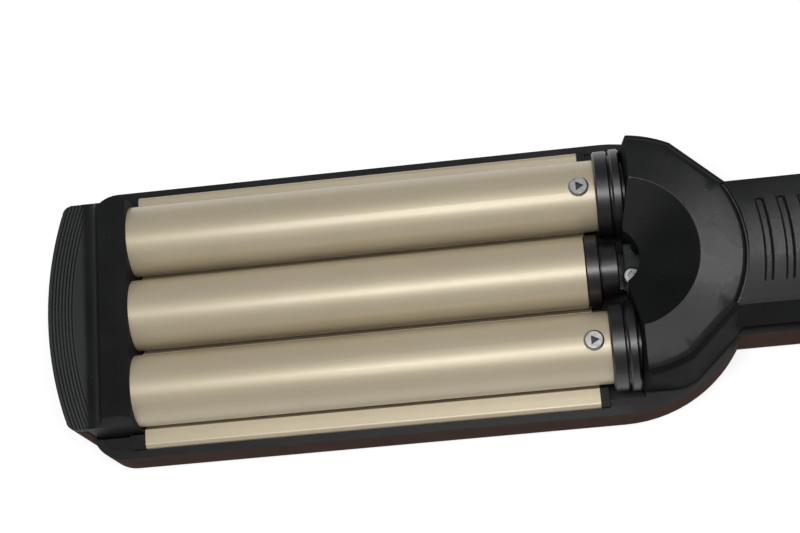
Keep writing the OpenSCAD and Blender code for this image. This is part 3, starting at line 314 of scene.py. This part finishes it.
def mouldedPlastic(name, colour, roughness, grain=1.0, dust=0.15, specular=0.22, flank=0.0,
                   patch=None, seams=None):
    p = plastic
    material, tree, body, place = shader(name, colour, roughness=roughness, specular=specular)
    fine = noise(tree, place, p["grainScale"], p["grainDetail"])
    cloud = noise(tree, place, p["cloudScale"], p["cloudDetail"])
    specks = noise(tree, place, p["dustScale"])
    paler = tuple(min(1, c * p["paler"] + p["lift"]) for c in colour)
    shade = mixed(tree, ramp(tree, cloud, *p["shadeFade"], 0, 1), colour, paler)
    shade = mixed(tree, ramp(tree, specks, *p["dustFade"], 0, dust), shade, p["dustShade"])
    tree.links.new(shade, body.inputs["Base Color"])
    least, most = (roughness + change for change in p["glossChange"])
    gloss = ramp(tree, cloud, *p["glossFade"], least, most)
    tree.links.new(gloss, body.inputs["Roughness"])
    bump(tree, body, fine, p["grainBump"] * grain, p["grainDepth"])
    if flank:
        # The flanks that look to the near side get a painted shade, darker than the tops, and a
        # rougher surface
        flankShadeAndDull = ramp(tree, facing(tree, "Y"), *p["flankFade"], flank, 0)
        cover(tree, body, flankShadeAndDull, p["flankPaintedShade"], p["flankRoughness"])
    if patch:
        patch(tree, place, body)
    if seams:
        # Painted shadow in narrow grooves
        cover(tree, body, seams(tree, place), p["paintedGrooveShadow"], p["grooveShadowRoughness"])
    return material


tip = {
    "nose": -173.65, "arc": 100.0, "ledgeEnd": 10.6, "slopeStart": 21.4,   # mm, as on the tip block
    "firstRidge": 1.175, "ridgePitch": 0.95, "ridgeCount": 7,
    "ledgeFade": (-0.8, 0.6),                # mm round the ledge's end
    "topFade": (0.6, 0.95),                  # upward part of the normal
    "rowLead": 0.4, "rowSoft": 0.1,          # mm
    "grooveFade": (0.14, 0.24), "crestFade": (0.22, 0.4),   # mm from the middle of a groove
    # painted glints and highlight on the ridge crests
    "glintScale": 2200, "glintFade": (0.5, 0.72),
    "mattShare": 0.5, "crestHighlightShare": 0.2,
    "paleShade": (0.05, 0.053, 0.055), "paleRoughness": 0.5,
    "rounding": 0.2, "smooth": 22, "sideBelow": 0.6, "slopeLead": 0.2,
}


def tipPatch(tree, place, body):
    # The thumb ledge is moulded matt: its upward faces get a paler colour, partly a painted
    # highlight, brightest on the ridge crests with painted glints
    x, y, _ = millimetres(tree, place)
    depth = calc(tree, "SUBTRACT", tip["arc"],
                 planAway(tree, calc(tree, "SUBTRACT", x, tip["nose"] + tip["arc"]), y))
    before, after = (tip["ledgeEnd"] + step for step in tip["ledgeFade"])
    onLedge = ramp(tree, calc(tree, "SUBTRACT", x, tip["nose"]), before, after, 1, 0)
    onTop = times(tree, onLedge, ramp(tree, facing(tree, "Z"), *tip["topFade"], 0, 1))
    inPitch = calc(tree, "SUBTRACT", depth, tip["firstRidge"])
    wave = calc(tree, "PINGPONG", inPitch, tip["ridgePitch"] / 2)
    rowEnd = tip["firstRidge"] + tip["ridgePitch"] * (tip["ridgeCount"] - 0.5)
    inRow = within(tree, depth, tip["firstRidge"] - tip["rowLead"], rowEnd, tip["rowSoft"])
    grooves = times(tree, inRow, ramp(tree, wave, *tip["grooveFade"], 1, 0))
    crests = times(tree, inRow, ramp(tree, wave, *tip["crestFade"], 0, 1))
    paintedGlints = ramp(tree, noise(tree, place, tip["glintScale"]), *tip["glintFade"], 0, 1)
    crestHighlight = times(tree, crests, calc(tree, "ADD", tip["crestHighlightShare"], paintedGlints))
    pale = times(tree, onTop, calc(tree, "ADD", tip["mattShare"], crestHighlight))
    pale = times(tree, pale, calc(tree, "SUBTRACT", 1.0, grooves))
    cover(tree, body, pale, tip["paleShade"], tip["paleRoughness"])


station = {"head": -12.35, "neck": 17.65}   # mm, the head's middle and where the handle begins

grip = {
    "first": 8.2, "pitch": 5.65, "count": 6, "arc": 60.0, "half": 11.6, "width": 2.3,   # mm
    "wallIn": 0.5, "wallOut": 0.12, "wallSoft": 0.1, "rowSoft": 0.05, "endFade": 0.3,
}

groove = {
    "radius": 32.2, "width": 0.8, "half": 16.7, "above": 39.5,   # mm, as on the upper shell
    "soft": 0.08, "behind": (8, 10), "endFade": 0.5,
}


def handleGrooveShadows(tree, place):
    # Where the painted shadow falls: along the grip slots' walls and in the arc groove
    x, y, z = millimetres(tree, place)
    aside = calc(tree, "ABSOLUTE", y)
    # Grip slots: distance along the handle from the nearest slot's arc
    bow = calc(tree, "SQRT", calc(tree, "SUBTRACT", grip["arc"] ** 2, times(tree, y, y)))
    start = station["neck"] + grip["first"] - grip["arc"]
    along = calc(tree, "SUBTRACT", calc(tree, "SUBTRACT", x, bow), start)
    near = calc(tree, "PINGPONG", along, grip["pitch"] / 2)
    inside, outside = grip["width"] / 2 - grip["wallIn"], grip["width"] / 2 + grip["wallOut"]
    slots = within(tree, near, inside, outside, grip["wallSoft"])
    rowEnd = grip["pitch"] * (grip["count"] - 1) + grip["width"]
    slots = times(tree, slots, within(tree, along, -grip["width"], rowEnd, grip["rowSoft"]))
    ends = ramp(tree, aside, grip["half"] - grip["endFade"], grip["half"], 1, 0)
    slots = times(tree, slots, ends)
    # The arc groove between the head and the handle
    outX = calc(tree, "SUBTRACT", x, station["head"])
    inner, outer = (groove["radius"] + side * groove["width"] / 2 for side in (-1, 1))
    line = within(tree, planAway(tree, outX, y), inner, outer, groove["soft"])
    line = times(tree, line, ramp(tree, outX, *groove["behind"], 0, 1))
    ends = ramp(tree, aside, groove["half"] - groove["endFade"], groove["half"], 1, 0)
    line = times(tree, line, ends)
    both = calc(tree, "MAXIMUM", slots, line)
    return times(tree, both, calc(tree, "GREATER_THAN", z, groove["above"]))


barrelCoat = {
    "base": (0.57, 0.49, 0.345), "pale": (0.6, 0.52, 0.37), "flake": (0.70, 0.63, 0.50),
    "metallic": 0.32, "clear": 0.5, "clearRoughness": 0.3,
    "cloudScale": 35, "cloudDetail": 3, "cloudFade": (0.35, 0.7),
    "flakeScale": 3200, "flakeFade": (0.55, 0.75), "flakeShare": 0.45,
    "glossFade": (0.3, 0.7), "roughness": (0.42, 0.56),
    "bump": 0.12, "depth": 0.00004,
}


def champagneCoat():
    c = barrelCoat
    material, tree, body, place = shader("champagneCoat", c["base"], metallic=c["metallic"],
                                         coat=c["clear"], coatRoughness=c["clearRoughness"])
    flakes = noise(tree, place, c["flakeScale"])
    cloud = noise(tree, place, c["cloudScale"], c["cloudDetail"])
    shade = mixed(tree, ramp(tree, cloud, *c["cloudFade"], 0, 1), c["base"], c["pale"])
    lit = ramp(tree, flakes, *c["flakeFade"], 0, c["flakeShare"])
    tree.links.new(mixed(tree, lit, shade, c["flake"]), body.inputs["Base Color"])
    gloss = ramp(tree, flakes, *c["glossFade"], *c["roughness"])
    tree.links.new(gloss, body.inputs["Roughness"])
    bump(tree, body, flakes, c["bump"], c["depth"])
    return material


metal = {
    "lineScale": 900, "lineDetail": 3, "bump": 0.15, "depth": 0.00005,
    "shadeFade": (0.3, 0.8), "darker": 0.8,
    "glossFade": (0.3, 0.7), "glossChange": (-0.08, 0.1),
}


def metalFinish(name, colour, roughness, brush=(1.0, 1.0, 1.0)):
    material, tree, body, place = shader(name, colour, metallic=1.0, roughness=roughness)
    stretch = tree.nodes.new("ShaderNodeMapping")
    stretch.inputs["Scale"].default_value = brush
    tree.links.new(place, stretch.inputs["Vector"])
    lines = noise(tree, stretch.outputs["Vector"], metal["lineScale"], metal["lineDetail"])
    least, most = (roughness + change for change in metal["glossChange"])
    gloss = ramp(tree, lines, *metal["glossFade"], least, most)
    tree.links.new(gloss, body.inputs["Roughness"])
    darker = tuple(c * metal["darker"] for c in colour)
    shade = mixed(tree, ramp(tree, lines, *metal["shadeFade"], 0, 1), colour, darker)
    tree.links.new(shade, body.inputs["Base Color"])
    bump(tree, body, lines, metal["bump"], metal["depth"])
    return material


looks = {
    # name: finish, colour, roughness, and what differs from the finish's usual values
    "handle": mouldedPlastic("handlePlastic", (0.0052, 0.0058, 0.0063), 0.25, specular=0.36,
                             flank=0.7, seams=handleGrooveShadows),
    # Painted shade: the handle's steep faces take a copy of its plastic with almost no gloss and
    # another base shade
    "handleShadedSide": mouldedPlastic("handleSidePaintedShade", (0.0105, 0.0110, 0.0113), 0.6,
                                 specular=0.02),
    # Painted shade: the dished facet takes a copy of the handle plastic with almost no gloss, so it
    # reads dark
    "dish": mouldedPlastic("dishPaintedShade", (0.0064, 0.0068, 0.0072), 0.38, specular=0.04),
    # Painted highlight: a paler copy of the black plastic on the dish rim and the tray rim's bevel
    "rimHighlight": mouldedPlastic("rimPaintedHighlight", (0.03, 0.031, 0.032), 0.4, specular=0.3),
    "housing": mouldedPlastic("housingPlastic", (0.0125, 0.0128, 0.0132), 0.40),
    # Painted shade: a warm brown on the lower housing's steep outer walls, which are the same dark
    # plastic as its top
    "wall": mouldedPlastic("wallPaintedShade", (0.072, 0.042, 0.033), 0.6, dust=0.05, specular=0.003),
    "tip": mouldedPlastic("tipPlastic", (0.0066, 0.0071, 0.0075), 0.3, specular=0.32,
                          patch=tipPatch),
    # Painted shade: the tip's sides and slope take a copy of its plastic with almost no gloss
    "tipShadedSide": mouldedPlastic("tipSidePaintedShade", (0.0098, 0.0101, 0.0104), 0.5, specular=0.06),
    "collar": mouldedPlastic("heatproofPlastic", (0.004, 0.0043, 0.0046), 0.36, grain=0.5,
                             dust=0.1, specular=0.75),
    "endBlock": mouldedPlastic("endBlockPlastic", (0.012, 0.0125, 0.013), 0.5, specular=0.15),
    "button": mouldedPlastic("buttonPlastic", (0.03, 0.031, 0.034), 0.36, grain=0.6, dust=0.2),
    "swivel": mouldedPlastic("swivelRubber", (0.012, 0.012, 0.012), 0.6),
    "coat": champagneCoat(),
    "castAluminium": metalFinish("castAluminium", (0.75, 0.75, 0.76), 0.4),
    # Painted shade: the steel is kept near black, standing in for the shade on the bracket down in
    # its notch
    "steel": metalFinish("steelPaintedShade", (0.05, 0.053, 0.055), 0.42, (0.1, 1, 1)),
    "spring": metalFinish("springSteel", (0.3, 0.3, 0.31), 0.35),
    "screw": metalFinish("zincScrew", (0.4, 0.4, 0.39), 0.45),
    # Painted shade: the screw heads' recesses take a dark copy of the zinc
    "recess": metalFinish("screwRecessPaintedShade", (0.06, 0.06, 0.06), 0.5),
    "fuse": metalFinish("tinnedCan", (0.7, 0.66, 0.5), 0.3),
    "ceramic": mouldedPlastic("heaterCeramic", (0.8, 0.77, 0.7), 0.6, dust=0),
    "board": mouldedPlastic("boardResin", (0.02, 0.14, 0.05), 0.3, dust=0),
    "lens": mouldedPlastic("lensPlastic", (0.02, 0.022, 0.026), 0.08, grain=0.1, dust=0),
}

nodeLooks = {
    "handle": ["upper_shell"],
    "housing": ["lower_shell", "upper_liner", "lower_cover"],
    "tip": ["tip_block"],
    "collar": ["collar_far", "collar_middle", "collar_near"],
    "endBlock": ["plate_block_tip", "plate_block_head"],
    "button": ["power_button", "warmer_button", "cooler_button", "lock_slider"],
    "swivel": ["swivel_collar"],
    "coat": ["barrel_far", "barrel_middle", "barrel_near", "wave_plate"],
    "castAluminium": ["core_far", "core_middle", "core_near"],
    "steel": ["heater_clamp", "barrel_bracket"],
    "spring": ["handle_spring", "hinge_pin"],
    "screw": ["base_screws", "cover_screws", "liner_screws", "barrel_screws", "bracket_screw"],
    "fuse": ["thermal_fuse"],
    "ceramic": ["plate_heater", "heater_far", "heater_middle", "heater_near"],
    "board": ["control_board"],
    "lens": ["indicator_lens"],
}

for look, names in nodeLooks.items():
    for name in names:
        nodes[name].data.materials.clear()
        nodes[name].data.materials.append(looks[look])
print("materials set:", len(looks))

# ---- smooth copies of the moulded and turned parts

skin = {
    "merge": 0.004,      # mm, between doubled points
    "sliver": 0.002,     # mm, shortest edge that stays
    "flat": 0.02,        # degrees, faces joined where they bend less
    "sharp": 35.0,       # degrees, edges rounded where they bend more
    "segments": 2,
    "smooth": 32.0,      # degrees, edges shaded smooth where they bend less
}


def mergedCopy(nodeName):
    bm = bmesh.new()
    bm.from_mesh(nodes[nodeName].data)
    bmesh.ops.remove_doubles(bm, verts=bm.verts, dist=skin["merge"] * mm)
    bmesh.ops.dissolve_degenerate(bm, edges=bm.edges, dist=skin["sliver"] * mm)
    return bm


def isSharp(edge):
    return edge.calc_face_angle(0) > math.radians(skin["sharp"])


def roundEdges(bm, width, picked):
    # Flat faces are joined first, so that a bevel runs along whole edges
    bmesh.ops.dissolve_limit(bm, angle_limit=math.radians(skin["flat"]), verts=bm.verts,
                             edges=bm.edges, use_dissolve_boundaries=False, delimit={"NORMAL"})
    rounded = [e for e in bm.edges if len(e.link_faces) == 2 and e.is_convex and picked(e)]
    bmesh.ops.bevel(bm, geom=rounded, offset=width * mm, offset_type="OFFSET", affect="EDGES",
                    segments=skin["segments"], profile=0.5, material=-1, clamp_overlap=True)
    return len(rounded)


def smoothByAngle(bm, angle):
    limit = math.radians(angle)
    for face in bm.faces:
        face.smooth = True
    for edge in bm.edges:
        edge.smooth = len(edge.link_faces) == 2 and edge.calc_face_angle(0) < limit


bodyOf = {n: b for b, members in frame["record"]["behaviour"]["bodies"].items() for n in members}


def dressNode(nodeName, angle=skin["smooth"], width=0, picked=isSharp, others=(), across=None):
    # others: further looks, each with a test of a face's normal and its middle in mm
    bm = mergedCopy(nodeName)
    if width:
        print("edges rounded on", nodeName, roundEdges(bm, width, picked))
    smoothByAngle(bm, angle)
    for face in bm.faces:
        for number, (_, belongs) in enumerate(others, 1):
            if belongs(face.normal, face.calc_center_median() / mm):
                face.material_index = number
    piece = addMesh(nodeName + "_skin", bm)
    piece.data.materials.append(nodes[nodeName].data.materials[0])
    for look, _ in others:
        piece.data.materials.append(looks[look])
    weigh = piece.modifiers.new("flatTops", "WEIGHTED_NORMAL")
    weigh.mode = "FACE_AREA"
    weigh.keep_sharp = True
    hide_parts(nodeName)
    if across:
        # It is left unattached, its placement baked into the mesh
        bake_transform(piece)
    else:
        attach(piece, bodyOf[nodeName])


dish = {
    "at": -13.45, "radius": 21.2, "rimHeight": 41.7,   # mm, as on the upper shell
    "spread": 0.45,       # mm, edges this near the radius are the rim
    "bend": 0.1,          # radians
    "rounding": 0.22,     # mm
    "edgeHalf": 0.2,      # mm, half the width of the rim's painted highlight
    "depth": 5,           # mm, more than the facet is deep
    "up": 0.9, "sideBelow": 0.8,     # upward part of the normal
    "smooth": 30,
}


def onDishRim(edge):
    # True on the sharp rim of the dished facet
    if edge.calc_face_angle(0) <= dish["bend"]:
        return False
    aways = [math.hypot(v.co.x - dish["at"] * mm, v.co.y) for v in edge.verts]
    return (all(abs(away - dish["radius"] * mm) < dish["spread"] * mm for away in aways)
            and all(v.co.z > dish["rimHeight"] * mm for v in edge.verts))


def dishAway(at):
    return math.hypot(at.x - dish["at"], at.y)


def inDish(normal, at):
    return (normal.z > dish["up"] and dishAway(at) < dish["radius"] - dish["edgeHalf"]
            and abs(at.z - dish["rimHeight"]) < dish["depth"])


def onDishEdge(normal, at):
    return (normal.z > dish["up"] and at.z > dish["rimHeight"]
            and abs(dishAway(at) - dish["radius"]) < dish["edgeHalf"])


dressNode("upper_shell", angle=dish["smooth"], width=dish["rounding"], picked=onDishRim, others=[
    # steep faces: painted shade
    ("handleShadedSide", lambda normal, at: abs(normal.z) < dish["sideBelow"]),
    # dished facet: painted shade
    ("dish", inDish),
    # dish rim: painted highlight
    ("rimHighlight", onDishEdge)])

tray = {"rounding": 0.3, "wallBelow": 0.5, "rimSlope": (0.5, 0.95), "rimAbove": 12, "smooth": 30}


# The tray rim's bevel gets the painted highlight
def onTrayRim(normal, at):
    low, high = tray["rimSlope"]
    return low < normal.z < high and at.z > tray["rimAbove"]


dressNode("lower_shell", angle=tray["smooth"], width=tray["rounding"], others=[
    # steep walls: brown painted shade
    ("wall", lambda normal, at: abs(normal.z) < tray["wallBelow"]),
    ("rimHighlight", onTrayRim)])


def onTipSide(normal, at):
    # The sides, and the slope to the barrels, which get the painted shade
    slope = tip["slopeStart"] - tip["slopeLead"]
    return abs(normal.z) < tip["sideBelow"] or at.x - tip["nose"] > slope


dressNode("tip_block", angle=tip["smooth"], width=tip["rounding"], others=[("tipShadedSide", onTipSide)])

screwHead = {
    "axes": ((-22.55, 21.8), (-22.55, -21.8), (-10.25, -2.2)),   # mm, plan
    "recess": 1.75,             # mm, radius
    "depth": (0.7, 0.04),       # mm below the top
    "rounding": 0.12,
}


# Faces inside the screw heads' recesses, which get the painted shade
def inRecess(at, top):
    deep, shallow = screwHead["depth"]
    away = min(math.hypot(at.x - x, at.y - y) for x, y in screwHead["axes"])
    return top - deep < at.z < top - shallow and away < screwHead["recess"]


for nodeName in ["barrel_screws", "bracket_screw"]:
    top = max(v.co.z for v in nodes[nodeName].data.vertices) / mm
    dressNode(nodeName, width=screwHead["rounding"],
              others=[("recess", lambda normal, at: inRecess(at, top))])

buttons = {"names": ["power_button", "warmer_button", "cooler_button"], "rounding": 0.2}

for nodeName in buttons["names"]:
    dressNode(nodeName, width=buttons["rounding"])
for nodeName in ["wave_plate", "barrel_far", "barrel_middle", "barrel_near", "collar_far",
                 "collar_middle", "collar_near", "base_screws", "cover_screws", "liner_screws",
                 "swivel_collar", "lock_slider"]:
    dressNode(nodeName)
dressNode("handle_spring", across=("lower_arm", "upper_arm"))
print("smooth parts made")

scene = bpy.context.scene
scene.view_settings.view_transform = "Standard"
